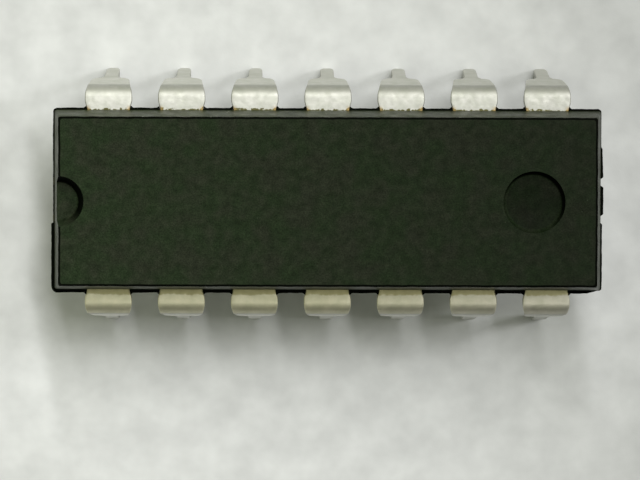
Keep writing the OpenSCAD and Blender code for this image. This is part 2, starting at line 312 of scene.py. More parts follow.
def leg_profile():
    """Heights down a leg, each with the half width there and the share of the thickness."""
    leg, foot, pin = LEG_WIDTH / 2, FOOT_WIDTH / 2, PIN_WIDTH / 2
    leg_start = BEND_HEIGHT - SHOULDER_DIP + (BEND_RADIUS + SHEET / 2) * math.sin(SPLAY)
    leg_end = PIN_LENGTH + FOOT_RISE
    profile = []
    for i in range(1, LEG_STEPS + 1):
        share = i / LEG_STEPS
        profile.append((leg_start + (leg_end - leg_start) * share, leg + (foot - leg) * share, 1))
    for i in range(1, ROUND_STEPS + 1):
        turn = math.pi / 2 * i / ROUND_STEPS
        half = foot - FOOT_RADIUS * (1 - math.cos(turn))
        profile.append((leg_end - FOOT_RISE * math.sin(turn), half, 1))
    root = PIN_LENGTH - FOOT_SLOPE
    profile.append(((PIN_LENGTH + root) / 2, (foot - FOOT_RADIUS + pin + ROOT_RADIUS) / 2, 1))
    for i in range(ROUND_STEPS + 1):
        turn = math.pi / 2 * i / ROUND_STEPS
        half = pin + ROOT_RADIUS * (1 - math.sin(turn))
        profile.append((root - ROOT_DROP * (1 - math.cos(turn)), half, 1))
    pin_start, pin_end = root - ROOT_DROP, TIP_TAPER
    for i in range(1, PIN_STEPS + 1):
        profile.append((pin_start + (pin_end - pin_start) * i / PIN_STEPS, pin, 1))
    for i in range(1, ROUND_STEPS + 1):
        turn = math.pi / 2 * i / ROUND_STEPS
        half = pin - TIP_CHAMFER * (1 - math.cos(turn))
        thin = 1 - TIP_THINNING * (1 - math.cos(turn))
        profile.append((pin_end - (TIP_TAPER - TIP_LIFT) * math.sin(turn), half, thin))
    return profile


def leg_rows(n):
    """Rows down the leg, its foot and its pin."""
    out = Vector((0, math.cos(SPLAY), math.sin(SPLAY)))
    centre = Vector((place(n) * PITCH, BEND_OUT, BEND_HEIGHT - SHOULDER_DIP))
    start = centre + (BEND_RADIUS + SHEET / 2) * out
    rows = []
    for height, half, thin in leg_profile():
        drop = start.z - height
        middle = Vector((start.x, start.y + drop * math.tan(SPLAY), height))
        rows.append((middle, Vector((-1, 0, 0)), out, half, SHEET / 2 * thin))
    return rows


def section(half, half_thick):
    """Points round a section with rounded edges: across, out, and the normal's two parts."""
    radius = min(EDGE_ROUND, half_thick * EDGE_SHARE)
    flat, rise = half - radius, half_thick - radius
    turns = [math.pi / 2 * i / (CORNER_POINTS - 1) for i in range(CORNER_POINTS)]
    points = []
    for side in (1, -1):
        for i in range(FACE_POINTS):
            across = 2 * i / (FACE_POINTS - 1) - 1
            points.append((side * flat * across, side * half_thick, 0, side))
        for t in turns[1:]:
            out, across = math.cos(t), math.sin(t)
            points.append((side * (flat + radius * across), side * (rise + radius * out),
                           side * across, side * out))
        for t in turns[:-1]:
            out, across = math.sin(t), math.cos(t)
            points.append((side * (flat + radius * across), -side * (rise + radius * out),
                           side * across, -side * out))
    return points


def lead_points(n):
    """Rings of points along a lead, from the end of its finger to its tip.

    The rows are those of the rear row, and a lead of the front row is turned half round.
    """
    rows = finger_rows(n) + flat_rows(n) + bend_rows(n) + leg_rows(n)
    turned = n <= LEADS_PER_ROW
    rings = []
    for middle, across, out, half, half_thick in rows:
        ring = []
        for a, b, normal_a, normal_b in section(half, half_thick):
            point = middle + across * a + out * b
            if middle.y > HALF_WIDTH:
                wave = COAT_WAVE * wander(point, COAT_SIZE, n)
                point += (across * normal_a + out * normal_b) * wave
            if turned:
                point = Vector((-point.x, -point.y, point.z))
            ring.append(point)
        rings.append(ring[::-1])
    return rings


def make_lead(n, material):
    """A tinned lead in place of its CAD node."""
    name = f"lead_{n:02d}"
    rings = lead_points(n)
    points = [p for ring in rings for p in ring]
    faces = tube_faces(len(rings), len(rings[0]))
    piece = mesh_object(f"tinned_{name}", points, faces, [material])
    shade(piece, LEAD_SHARP)
    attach(piece, BODY)
    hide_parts(name)
    return piece


# Moulding

CONTOUR_STEP = 0.03
CORNER_STEPS = 8
WALL_STEPS = 5
EDGE_STEPS = 4
# Finishes of the moulding's faces. The edge finish, on the rounded rims and the flash, is painted
# shade.
MOULD, SHADED_EDGE, POLISHED, WALL, SHADED_RECESS = range(5)
RIM_BAND = 0.03
RIM_WAVER = 0.012
RIM_WAVE = (0.3, 5.2)
RAGGED_WAVES = ((0.45, 3.1, 0.014), (0.09, 7.7, 0.007))
RAGGED_FULL = 0.07
RAGGED_LEAST = 0.006
CUT_STEPS = 160
FILLET_STEPS = 6
DISH_STEPS = 8
DISH_CENTRE = 0.1
CUT_PAST = 0.4
BODY_SHARP = 32


def contour():
    """Round the moulding at the parting line: each point's arc centre and way out in degrees."""
    reach_x, reach_y = HALF_LENGTH - CORNER_RADIUS, HALF_WIDTH - CORNER_RADIUS
    corners = [Vector((reach_x, -reach_y)), Vector((reach_x, reach_y)),
               Vector((-reach_x, reach_y)), Vector((-reach_x, -reach_y))]
    points = []
    for k, corner in enumerate(corners):
        start = 90 * (k - 1)
        points += [(corner, start + 90 * i / CORNER_STEPS) for i in range(CORNER_STEPS + 1)]
        following = corners[(k + 1) % len(corners)]
        steps = round((following - corner).length / CONTOUR_STEP)
        points += [(corner.lerp(following, i / steps), start + 90) for i in range(1, steps)]
    return points


def lead_distance(x):
    """Distance along a row from x to the middle of the nearest lead."""
    spot = round(x / PITCH)
    spot = max(-(LEADS_PER_ROW - 1) // 2, min((LEADS_PER_ROW - 1) // 2, spot))
    return abs(x - spot * PITCH)


def row_flash(x, width):
    """Flash beside the leads: it climbs into the corner by each neck."""
    away = lead_distance(x)
    if away < NECK_WIDTH / 2 + SLOT_CLEARANCE:
        return -SLOT_DEPTH
    step = (away - NECK_WIDTH / 2 - CLIMB_PLACE) / CLIMB_SPREAD
    return width + CLIMB_WIDTH * math.exp(-(step**2))


def right_flash(y):
    """Flash at the plain end: it slants off to each side of a tie bar."""
    from_tie = abs(abs(y) - TIE_OFFSET) - TIE_WIDTH / 2
    if from_tie < 0:
        return -SLOT_DEPTH
    outer = TIE_OFFSET + TIE_WIDTH / 2
    if abs(y) < TIE_OFFSET:
        width = FLASH_TAB
    elif y < 0:
        width = FLASH_THIN
    else:
        share = min(1, (y - outer) / (FLASH_REAR_STOP - outer))
        slant = min(1, max(0, (FLASH_REAR_STOP - y) / FLASH_SLANT))
        full = FLASH_TAB + (FLASH_THIN - FLASH_TAB) * share
        width = FLASH_LEAST + (full - FLASH_LEAST) * slant
    return width * min(1, FLASH_BY_TIE + from_tie / FLASH_SLANT)


def left_flash(y):
    """Flash at the notched end: heavier in its front half."""
    if abs(abs(y) - TIE_OFFSET) < TIE_WIDTH / 2:
        return -SLOT_DEPTH
    return FLASH_LEFT_HEAVY if y < FLASH_HEAVY_START else FLASH_LEFT


def front_flash(x):
    """Flash along the front row: broken off at the plain end."""
    if x > HALF_LENGTH - FLASH_BREAK:
        share = min(1, (x - HALF_LENGTH + FLASH_BREAK) / (FLASH_BREAK_RUN * FLASH_BREAK))
        return FLASH_FRONT * (1 - share) + FLASH_LEAST * share
    return row_flash(x, FLASH_FRONT)


def flash_width(centre, degrees):
    """How far the flash stands out from the parting line, before its edge wanders."""
    sides = [
        right_flash(centre.y),
        row_flash(centre.x, FLASH_REAR),
        left_flash(centre.y),
        front_flash(centre.x),
    ]
    share = eased((degrees % 90) / 90)
    first = int(degrees // 90) % len(sides)
    return sides[first] * (1 - share) + sides[(first + 1) % len(sides)] * share


def ragged(width, centre, degrees):
    """The flash's width with the wandering edge that breaking it off leaves."""
    if width < 0:
        return width
    spot = Vector((centre.x, centre.y, degrees / 90))
    wave = sum(wander(spot, size, seed) * height for size, seed, height in RAGGED_WAVES)
    return max(RAGGED_LEAST, width + min(width, RAGGED_FULL) / RAGGED_FULL * wave)


def moulding_levels():
    """Inset, height and finish of the moulding's loops from the top face down.

    None stands for the flash.
    """
    upper, lower = TOP - SHEET_TOP, SHEET_BOTTOM - UNDERSIDE
    face_inset = upper * math.tan(DRAFT) + WORN_EDGE * (math.cos(DRAFT) - math.tan(DRAFT))
    levels = [(face_inset + RIM_BAND, TOP, MOULD)]

    def wall(depth_from, depth_to, origin, way, finish):
        for i in range(1, WALL_STEPS + 1):
            depth = depth_from + (depth_to - depth_from) * i / WALL_STEPS
            levels.append((depth * math.tan(DRAFT), origin + way * depth, finish))

    def rounded(depth, origin, way, opening):
        tilt = math.pi / 2 - DRAFT
        turns = [tilt * i / EDGE_STEPS for i in range(EDGE_STEPS + 1)]
        for t in turns if opening else reversed(turns):
            curve = WORN_EDGE * (math.cos(DRAFT) - math.sin(t))
            inset = (depth - WORN_EDGE) * math.tan(DRAFT) + curve
            height = origin + way * (depth - WORN_EDGE + WORN_EDGE * math.cos(t))
            levels.append((inset, height, SHADED_EDGE))

    rounded(upper, SHEET_TOP, 1, True)
    wall(upper - WORN_EDGE, FLASH_PROUD, SHEET_TOP, 1, WALL)
    levels.append(None)
    levels.append((FLASH_PROUD * math.tan(DRAFT), SHEET_BOTTOM - FLASH_PROUD, SHADED_EDGE))
    wall(FLASH_PROUD, lower - WORN_EDGE, SHEET_BOTTOM, -1, WALL)
    rounded(lower, SHEET_BOTTOM, -1, False)
    return levels


def flash_levels(width):
    """The flash's section: how far out and how high each of its loops is."""
    edge = min(FLASH_EDGE, abs(width) / 2)
    top, bottom = SHEET_TOP + FLASH_PROUD, SHEET_BOTTOM - FLASH_PROUD
    slope = edge * FLASH_BEVEL
    return [
        (width - edge, top), (width - slope, top - slope), (width, top - edge),
        (width, bottom + edge), (width - slope, bottom + slope), (width - edge, bottom),
    ]


def moulding_shell(materials):
    """The closed skin of the moulding with its flash, before the notch and marks are cut."""
    outline = contour()
    reach_x, reach_y = HALF_LENGTH - CORNER_RADIUS, HALF_WIDTH - CORNER_RADIUS

    def at(index, inset, height, out=0.0):
        centre, degrees = outline[index]
        way = Vector((math.cos(math.radians(degrees)), math.sin(math.radians(degrees))))
        x = centre.x * (reach_x - inset) / reach_x + way.x * (CORNER_RADIUS + out)
        y = centre.y * (reach_y - inset) / reach_y + way.y * (CORNER_RADIUS + out)
        return Vector((x, y, height))

    widths = [ragged(flash_width(c, d), c, d) for c, d in outline]
    waves = [wander((c.x, c.y, d / 90), *RIM_WAVE) for c, d in outline]
    rings, finishes = [], []
    for level in moulding_levels():
        if level is None:
            sections = [flash_levels(w) for w in widths]
            for k in range(len(sections[0])):
                rings.append([at(i, 0, s[k][1], s[k][0]) for i, s in enumerate(sections)])
                finishes.append(SHADED_EDGE)
        else:
            inset, height, finish = level
            waver = RIM_WAVER if height > SHEET_TOP and finish != WALL else 0
            rings.append([at(i, inset + waver * waves[i], height) for i in range(len(outline))])
            finishes.append(finish)
    points = [p for ring in reversed(rings) for p in ring]
    around = len(outline)
    faces = tube_faces(len(rings), around)
    slots = []
    for finish in reversed(finishes[1:]):
        slots += [finish] * around
    slots += [MOULD, MOULD]
    return mesh_object("moulded_body", points, faces, materials, slots)


def cutter(profile, finishes, centre, tilt, materials):
    """A turned solid to cut with: radius and height from the bottom up, and each band's finish."""
    points = []
    for radius, height in profile:
        for i in range(CUT_STEPS):
            turn = 2 * math.pi * i / CUT_STEPS
            spot = Vector((radius * math.cos(turn), radius * math.sin(turn), height))
            points.append(tilt @ spot + centre)
    faces = tube_faces(len(profile), CUT_STEPS)
    slots = [finish for finish in finishes for _ in range(CUT_STEPS)]
    slots += [finishes[0], finishes[-1]]
    return mesh_object("cutter", points, faces, materials, slots)


def cut(piece, tool):
    """Takes the tool's volume out of a piece, for good."""
    change = piece.modifiers.new("cut", "BOOLEAN")
    change.operation = "DIFFERENCE"
    change.solver = "EXACT"
    change.object = tool
    graph = bpy.context.evaluated_depsgraph_get()
    mesh = bpy.data.meshes.new_from_object(piece.evaluated_get(graph))
    piece.modifiers.clear()
    old = piece.data
    piece.data = mesh
    bpy.data.meshes.remove(old)
    bpy.data.objects.remove(tool)


def pocket_profile(radius, floor, depth, fillet, dish):
    """A round pocket: a dished floor, a fillet, and a wall that slopes out and on past the top."""
    slope = (radius - floor) / depth
    tilt = math.atan2(depth, radius - floor)
    run = fillet * math.tan(tilt / 2)
    flat = floor - run
    spots = [max(i, DISH_CENTRE) / DISH_STEPS for i in range(DISH_STEPS)]
    points = [(flat * spot, dish * (spot**2 - 1) - depth) for spot in spots]
    for i in range(FILLET_STEPS + 1):
        turn = tilt * i / FILLET_STEPS
        points.append((flat + fillet * math.sin(turn), fillet * (1 - math.cos(turn)) - depth))
    return points + [(radius, 0), (radius + slope * CUT_PAST, CUT_PAST)]


def cut_pocket(piece, sizes, fillet, finishes, centre, tilt, dish=0):
    """Cuts a round pocket of some radius, floor radius and depth into a piece.

    The two finishes are those of its floor and its wall.
    """
    profile = pocket_profile(*sizes, fillet, dish)
    inner = DISH_STEPS + 1
    bands = [finishes[0]] * inner + [finishes[1]] * (len(profile) - 1 - inner)
    cut(piece, cutter(profile, bands, centre, tilt, piece.data.materials))


def make_body(materials):
    """The moulding with its notch and marks, in place of its CAD node."""
    piece = moulding_shell(materials)
    notch_sizes = (NOTCH_RADIUS, NOTCH_FLOOR_RADIUS, NOTCH_DEPTH)
    notch_place = Vector(((TOP - SHEET_TOP) * math.tan(DRAFT) - HALF_LENGTH, 0, TOP))
    cut_pocket(piece, notch_sizes, NOTCH_FILLET, (MOULD, SHADED_RECESS), notch_place,
               Matrix.Identity(3))
    mark_x = HALF_LENGTH - MARK_INSET
    under = Matrix.Rotation(math.pi, 3, "X")
    marks = [
        (TOP_MARK_RADIUS, mark_x, TOP, MARK_LEAN),
        (UNDER_MARK_RADIUS, -mark_x, UNDERSIDE, under),
        (UNDER_MARK_RADIUS, mark_x, UNDERSIDE, under),
    ]
    for radius, x, height, tilt in marks:
        cut_pocket(piece, (radius, radius - MARK_WALL, MARK_DEPTH), MARK_FILLET,
                   (POLISHED, SHADED_RECESS), Vector((x, 0, height)), tilt, MARK_DISH)
    shade(piece, BODY_SHARP)
    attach(piece, BODY)
    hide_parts("body")
    return piece


# Materials

# Noise runs mostly between these values. Below, a size is in millimetres, a pair of levels is
# what noise is mapped to, and a name that ends in NOISE holds where a pattern starts and is full.
NOISE_LOW, NOISE_HIGH = 0.3, 0.7


def add(tree, kind, inputs=None, **settings):
    """A node with its settings, and its inputs set to values or linked to sockets."""
    made = tree.nodes.new(kind)
    for key, value in settings.items():
        setattr(made, key, value)
    for key, value in (inputs or {}).items():
        if isinstance(value, bpy.types.NodeSocket):
            tree.links.new(value, made.inputs[key])
        else:
            made.inputs[key].default_value = value
    return made


def new_material(name):
    """An empty material, its node tree, and the place of each point in the frame."""
    material = bpy.data.materials.new(name)
    material.use_nodes = True
    tree = material.node_tree
    tree.nodes.clear()
    here = add(tree, "ShaderNodeTexCoord").outputs["Object"]
    return material, tree, here


def noise_value(tree, where, size, detail=2.0, roughness=0.5, stretch=None):
    """Noise from 0 to 1 whose features are about `size` millimetres across."""
    if stretch:
        where = add(tree, "ShaderNodeMapping", {"Vector": where, "Scale": stretch}).outputs[0]
    return add(tree, "ShaderNodeTexNoise",
               {"Vector": where, "Scale": 1 / (size * MM), "Detail": detail,
                "Roughness": roughness}).outputs["Fac"]


def remap(tree, value, low, high, to_low=0.0, to_high=1.0, smooth=False):
    """A value mapped from one range to another, and held at its ends."""
    kind = "SMOOTHSTEP" if smooth else "LINEAR"
    return add(tree, "ShaderNodeMapRange",
               {"Value": value, "From Min": low, "From Max": high,
                "To Min": to_low, "To Max": to_high},
               interpolation_type=kind).outputs["Result"]


def varied(tree, where, size, low=0.0, high=1.0, detail=2.0, roughness=0.5):
    """A value from low to high that changes over about `size` millimetres."""
    value = noise_value(tree, where, size, detail, roughness)
    return remap(tree, value, NOISE_LOW, NOISE_HIGH, low, high)


def math_node(tree, operation, a, b=0.0):
    return add(tree, "ShaderNodeMath", {0: a, 1: b}, operation=operation).outputs[0]


def product(tree, first, *others):
    for other in others:
        first = math_node(tree, "MULTIPLY", first, other)
    return first


def total(tree, first, *others):
    for other in others:
        first = math_node(tree, "ADD", first, other)
    return first


def along(tree, where, axis):
    return add(tree, "ShaderNodeSeparateXYZ", {0: where}).outputs[axis]


def sideways(tree, where, axis):
    """Distance from the middle of the part along an axis."""
    return math_node(tree, "ABSOLUTE", along(tree, where, axis))


def rightward(tree, where, level):
    """A value that falls from 1 at the notched end to `level` at the plain one."""
    return remap(tree, along(tree, where, "X"), -HALF_LENGTH * MM, HALF_LENGTH * MM, 1, level)


def mix_colour(tree, share, a, b, blend="MIX"):
    """The mix node's sockets 6 and 7 are its two colours."""
    return add(tree, "ShaderNodeMix", {0: share, 6: a, 7: b},
               data_type="RGBA", blend_type=blend).outputs[2]


def spread(tree, value):
    """A grey colour from a value."""
    return add(tree, "ShaderNodeCombineXYZ", {0: value, 1: value, 2: value}).outputs[0]


def scaled(tree, colour, value):
    """A colour made darker or lighter by a value."""
    return mix_colour(tree, 1.0, colour, spread(tree, value), "MULTIPLY")


def bump(tree, height, depth, under=None):
    """Relief whose full height is `depth` millimetres."""
    inputs = {"Height": height, "Strength": 1.0, "Distance": depth * MM}
    if under:
        inputs["Normal"] = under
    return add(tree, "ShaderNodeBump", inputs).outputs["Normal"]


def surface(tree, **inputs):
    named = {key.replace("_", " "): value for key, value in inputs.items()}
    shader = add(tree, "ShaderNodeBsdfPrincipled", named)
    add(tree, "ShaderNodeOutputMaterial", {"Surface": shader.outputs[0]})


# Moulded epoxy
MOULD_GREEN = (0.0143, 0.0242, 0.0105, 1)
MOULD_BROWN = (0.018, 0.0222, 0.0133, 1)
MOULD_HUE_SIZE = 0.6
MOULD_HUE_NOISE = (0.36, 0.64)
MOULD_CLOUD_SIZE = 0.3
MOULD_MOTTLE = 0.3
MOULD_GRAIN_SIZE = 0.05
MOULD_GRAIN = (0.62, 1.38)
MOULD_PAINTED_FALLOFF = 0.45
MOULD_SPECK = (0.05, 0.055, 0.04, 1)
MOULD_SPECK_SIZE = 0.08
MOULD_SPECK_NOISE = (0.77, 0.84)
MOULD_SPECK_SHARE = 0.5
MOULD_TINT = (0.92, 1.0, 0.84, 1)
MOULD_ROUGH_SIZE = 0.5
MOULD_ROUGH_RANGE = 0.08
MOULD_RELIEF = 0.004
MOULD_RELIEF_SIZE = 0.07
MOULD_WAVE_SIZE = 1.1
MOULD_WAVE = 1.6
FILM = (0.145, 0.163, 0.055, 1)
FILM_SIZE = 0.14
FILM_NOISE = (0.34, 0.68)
CHIP = (0.4, 0.42, 0.36, 1)
CHIP_SIZE = 0.13
CHIP_NOISE = (0.77, 0.8)
# Painted shade for recess walls: the way towards the lamps, the turn over which the shade fades in,
# and the share of colour left at its darkest.
PAINTED_SHADE_LIGHT_WAY = (0.45, 0.65, 0.6)
PAINTED_SHADE_TURN = (0.1, 0.6)
PAINTED_SHADE_LEAST = 0.08


def mould_material(name, tone, roughness, gloss, relief_depth=MOULD_RELIEF, film=0.0,
                   painted_recess_shade=False):
    """Filled black epoxy: olive-black, mottled green and brown, and darker to the right by a
    painted light falloff.

    A pale film lies on it in patches, and a recess face can carry painted shade: it is
    darkened where it turns away from the lamps at the rear.
    """
    material, tree, here = new_material(name)
    hue = remap(tree, noise_value(tree, here, MOULD_HUE_SIZE), *MOULD_HUE_NOISE)
    colour = mix_colour(tree, hue, MOULD_GREEN, MOULD_BROWN)
    cloud = varied(tree, here, MOULD_CLOUD_SIZE, tone * (1 - MOULD_MOTTLE),
                   tone * (1 + MOULD_MOTTLE), detail=3, roughness=0.6)
    grain = varied(tree, here, MOULD_GRAIN_SIZE, *MOULD_GRAIN, roughness=0.6)
    # Painted light falloff: the colour is darkened towards the plain end, as a lamp's falloff would
    # darken it.
    share = rightward(tree, here, MOULD_PAINTED_FALLOFF)
    colour = scaled(tree, colour, product(tree, grain, share, cloud))
    speck = remap(tree, noise_value(tree, here, MOULD_SPECK_SIZE, detail=1), *MOULD_SPECK_NOISE,
                  0, MOULD_SPECK_SHARE)
    colour = mix_colour(tree, speck, colour, MOULD_SPECK)
    if film:
        patch = noise_value(tree, here, FILM_SIZE, detail=3, roughness=0.6)
        patch = remap(tree, patch, *FILM_NOISE, 0, film)
        colour = mix_colour(tree, product(tree, patch, share), colour, FILM)
        chip = remap(tree, noise_value(tree, here, CHIP_SIZE, detail=1), *CHIP_NOISE)
        colour = mix_colour(tree, chip, colour, CHIP)
    # Painted shade: a face is darkened as it turns away from the lamps at the rear.
    if painted_recess_shade:
        facing = add(tree, "ShaderNodeNewGeometry").outputs["Normal"]
        turn = add(tree, "ShaderNodeVectorMath", {0: facing, 1: PAINTED_SHADE_LIGHT_WAY},
                   operation="DOT_PRODUCT").outputs["Value"]
        colour = scaled(tree, colour, remap(tree, turn, *PAINTED_SHADE_TURN, PAINTED_SHADE_LEAST, 1))
    rough = varied(tree, here, MOULD_ROUGH_SIZE, roughness - MOULD_ROUGH_RANGE,
                   roughness + MOULD_ROUGH_RANGE)
    relief = bump(tree, noise_value(tree, here, MOULD_RELIEF_SIZE, detail=3, roughness=0.65),
                  relief_depth)
    relief = bump(tree, noise_value(tree, here, MOULD_WAVE_SIZE), relief_depth * MOULD_WAVE,
                  relief)
    surface(tree, Base_Color=colour, Roughness=rough, Normal=relief, Specular_IOR_Level=gloss,
            Specular_Tint=MOULD_TINT)
    return material


# Solder-tinned leads
TIN_DARK = (0.585, 0.59, 0.54, 1)
TIN_LIGHT = (0.694, 0.684, 0.66, 1)
TIN_MOTTLE_SIZE = 0.45
TIN_PAINTED_FALLOFF = 0.79
TIN_STAIN = (0.15, 0.14, 0.065, 1)
TIN_STAIN_EDGE = 0.03
TIN_LOBE_SIZE = 0.12
TIN_LOBE_NOISE = (0.35, 0.65)
TIN_LOBES = (-0.03, 0.06)
TIN_CORNER = (0.58, 0.76)
TIN_CORNER_REACH = 0.05
TIN_AMBER = (0.55, 0.38, 0.16, 1)
TIN_AMBER_REACH = (0.03, 0.2)
TIN_AMBER_SHARE = 0.75
TIN_OLIVE = (0.51, 0.47, 0.24, 1)
TIN_OLIVE_SIZE = 0.2
TIN_OLIVE_REACH = (0.13, 0.19)
TIN_OLIVE_EDGE = (-0.02, 0.05)
TIN_OLIVE_SHARE = 0.8
# Cream tint of the front row's flats, which also lightens them as painted light.
TIN_CREAM_AND_PAINTED_LIGHT = (1.33, 1.29, 1.03, 1)
TIN_CREAM_AND_PAINTED_LIGHT_RIGHT = (1.42, 1.38, 1.27, 1)
# Colour levels by height, painted light and shade: pins, legs as a painted reflection, bends as
# painted shade.
TIN_PIN = 0.89
TIN_LEG_PAINTED_LIGHT = 1.11
TIN_BEND_PAINTED_SHADE = 0.86
TIN_FRONT_LEG_PAINTED_SHADE = 0.58
TIN_FRONT_FOOT_PAINTED_LIGHT = 1.25
# Painted shade on the leads' sides: its colour, the turn over which it sets in, and its share.
TIN_PAINTED_SIDE_SHADE = (0.1, 0.095, 0.06, 1)
TIN_PAINTED_SIDE_SHADE_TURN = (0.6, 0.95)
TIN_PAINTED_SIDE_SHADE_SHARE = 0.18
TIN_ROUGH = 0.6
TIN_ROUGH_SIZE = 0.2
TIN_ROUGH_RANGE = 0.05
TIN_METAL = 0.95
TIN_PIN_METAL = 0.4
TIN_WAVE_SIZE = 0.5
TIN_WAVE = 0.008
TIN_STREAK_SIZE = 0.07
TIN_STREAK = 0.003
TIN_STREAK_STRETCH = (0.4, 1, 1)


def stained_rear(tree, here, away, colour):
    """The rear row: lobes of dark stain at the moulding, and amber at a lead's two edges."""
    beside = add(tree, "ShaderNodeMath", {0: along(tree, here, "X"), 1: PITCH / 2 * MM,
                                          2: -PITCH / 2 * MM}, operation="WRAP").outputs[0]
    corner = remap(tree, math_node(tree, "ABSOLUTE", beside), TIN_CORNER[0] * MM,
                   TIN_CORNER[1] * MM, smooth=True)
    lobes = remap(tree, noise_value(tree, here, TIN_LOBE_SIZE), *TIN_LOBE_NOISE,
                  TIN_LOBES[0] * MM, TIN_LOBES[1] * MM)
    reach = total(tree, lobes, product(tree, corner, TIN_CORNER_REACH * MM))
    stain = remap(tree, math_node(tree, "SUBTRACT", away, reach), 0, TIN_STAIN_EDGE * MM,
                  1, 0, True)
    glow = remap(tree, away, TIN_AMBER_REACH[0] * MM, TIN_AMBER_REACH[1] * MM,
                 TIN_AMBER_SHARE, 0, True)
    colour = mix_colour(tree, stain, colour, TIN_STAIN)
    return mix_colour(tree, product(tree, corner, glow), colour, TIN_AMBER)


def creamy_front(tree, here, away, height, colour):
    """The front row: cream and painted lighter on top, painted shade down the legs from the bend,
    painted light at the foot, and an olive band at the moulding.
    """
    edge = varied(tree, here, TIN_OLIVE_SIZE, TIN_OLIVE_REACH[0] * MM, TIN_OLIVE_REACH[1] * MM)
    band = remap(tree, math_node(tree, "SUBTRACT", away, edge), TIN_OLIVE_EDGE[0] * MM,
                 TIN_OLIVE_EDGE[1] * MM, 1, 0, True)
    upper = remap(tree, height, (BEND_HEIGHT - BEND_RADIUS) * MM,
                  (SHEET_BOTTOM + SHEET / 2) * MM)
    # Painted shade and light down the front legs: dark by the bend, light at the foot.
    leg = remap(tree, height, (PIN_LENGTH + FOOT_RADIUS) * MM, BEND_HEIGHT * MM,
                TIN_FRONT_FOOT_PAINTED_LIGHT, TIN_FRONT_LEG_PAINTED_SHADE)
    # Cream tint, and painted light that makes the front row's flats lighter.
    cream = mix_colour(tree, remap(tree, along(tree, here, "X"), 0, HALF_LENGTH * MM),
                       TIN_CREAM_AND_PAINTED_LIGHT, TIN_CREAM_AND_PAINTED_LIGHT_RIGHT)
    colour = mix_colour(tree, upper, scaled(tree, colour, leg),
                        mix_colour(tree, 1.0, colour, cream, "MULTIPLY"))
    return mix_colour(tree, product(tree, band, TIN_OLIVE_SHARE), colour, TIN_OLIVE)


def tin_material():
    """Dull solder coat: whiter on the rear row, creamy on the front, stained at the moulding, with
    painted light and shade.
    """
    material, tree, here = new_material("solder_tin")
    height = along(tree, here, "Z")
    away = math_node(tree, "SUBTRACT", sideways(tree, here, "Y"), HALF_WIDTH * MM)
    foot = ((PIN_LENGTH - FOOT_RADIUS) * MM, (PIN_LENGTH + FOOT_RADIUS) * MM)

    mottle = varied(tree, here, TIN_MOTTLE_SIZE, detail=4, roughness=0.6)
    colour = mix_colour(tree, mottle, TIN_DARK, TIN_LIGHT)
    # Painted light falloff: the leads are darkened towards the plain end.
    colour = scaled(tree, colour, rightward(tree, here, TIN_PAINTED_FALLOFF))
    row = remap(tree, along(tree, here, "Y"), -MM, MM)
    colour = mix_colour(tree, row, creamy_front(tree, here, away, height, colour),
                        stained_rear(tree, here, away, colour))

    # Painted light and shade by height: legs painted lighter as a painted reflection of the paper,
    # bends painted darker as painted shade, flats back at the plain colour, and pins a shade darker
    # than the legs.
    pin = remap(tree, height, *foot, TIN_PIN, TIN_LEG_PAINTED_LIGHT)
    bend = remap(tree, height, (BEND_HEIGHT - BEND_RADIUS) * MM, BEND_HEIGHT * MM,
                 1, TIN_BEND_PAINTED_SHADE / TIN_LEG_PAINTED_LIGHT, True)
    flat = remap(tree, height, (SHEET_TOP - SHEET / 2) * MM, (SHEET_TOP - SHEET / 8) * MM,
                 1, 1 / TIN_BEND_PAINTED_SHADE, True)
    colour = scaled(tree, colour, product(tree, pin, bend, flat))
    # Painted shade: the leads' sides, faces turned along x, are darkened.
    facing = add(tree, "ShaderNodeNewGeometry").outputs["Normal"]
    painted_side_shade = remap(tree, sideways(tree, facing, "X"), *TIN_PAINTED_SIDE_SHADE_TURN, 0, TIN_PAINTED_SIDE_SHADE_SHARE)
    colour = mix_colour(tree, painted_side_shade, colour, TIN_PAINTED_SIDE_SHADE)

    rough = varied(tree, here, TIN_ROUGH_SIZE, TIN_ROUGH - TIN_ROUGH_RANGE,
                   TIN_ROUGH + TIN_ROUGH_RANGE, detail=3)
    metal = remap(tree, height, *foot, TIN_PIN_METAL, TIN_METAL)
    relief = bump(tree, noise_value(tree, here, TIN_WAVE_SIZE, detail=3), TIN_WAVE)
    streak = noise_value(tree, here, TIN_STREAK_SIZE, detail=3, roughness=0.6,
                         stretch=TIN_STREAK_STRETCH)
    relief = bump(tree, streak, TIN_STREAK, relief)
    surface(tree, Base_Color=colour, Metallic=metal, Roughness=rough, Normal=relief)
    return material


# Pieces inside the moulding
COPPER = ((0.5, 0.33, 0.2, 1), (0.68, 0.47, 0.31, 1))
COPPER_ROUGH = 0.36
GOLD = ((0.85, 0.58, 0.2, 1), (0.95, 0.7, 0.3, 1))
GOLD_ROUGH = 0.24
METAL_STREAK_SIZE = 0.05
METAL_ROUGH_RANGE = 0.06
METAL_RELIEF = 0.001
BRUSHED_STRETCH = (0.08, 1, 1)
CUT_END = (0.06, 0.056, 0.035, 1)
CUT_END_DEPTH = (0.08, 0.05)
SILICON = ((0.10, 0.11, 0.15, 1), (0.22, 0.2, 0.24, 1))
SILICON_CELL = 0.16
SILICON_IRREGULAR = 0.35
SILICON_STREET = (0.3, 0.5)
SILICON_ROUGH = (0.18, 0.3)
SILICON_ROUGH_SIZE = 0.1
SILICON_METAL = 0.6
ADHESIVE = ((0.34, 0.33, 0.31, 1), (0.7, 0.69, 0.66, 1))
ADHESIVE_FLAKE_SIZE = 0.02
ADHESIVE_FLAKE_NOISE = (0.45, 0.6)
ADHESIVE_RELIEF_SIZE = 0.03
ADHESIVE_RELIEF = 0.002
ADHESIVE_ROUGH = 0.55
ADHESIVE_METAL = 0.5


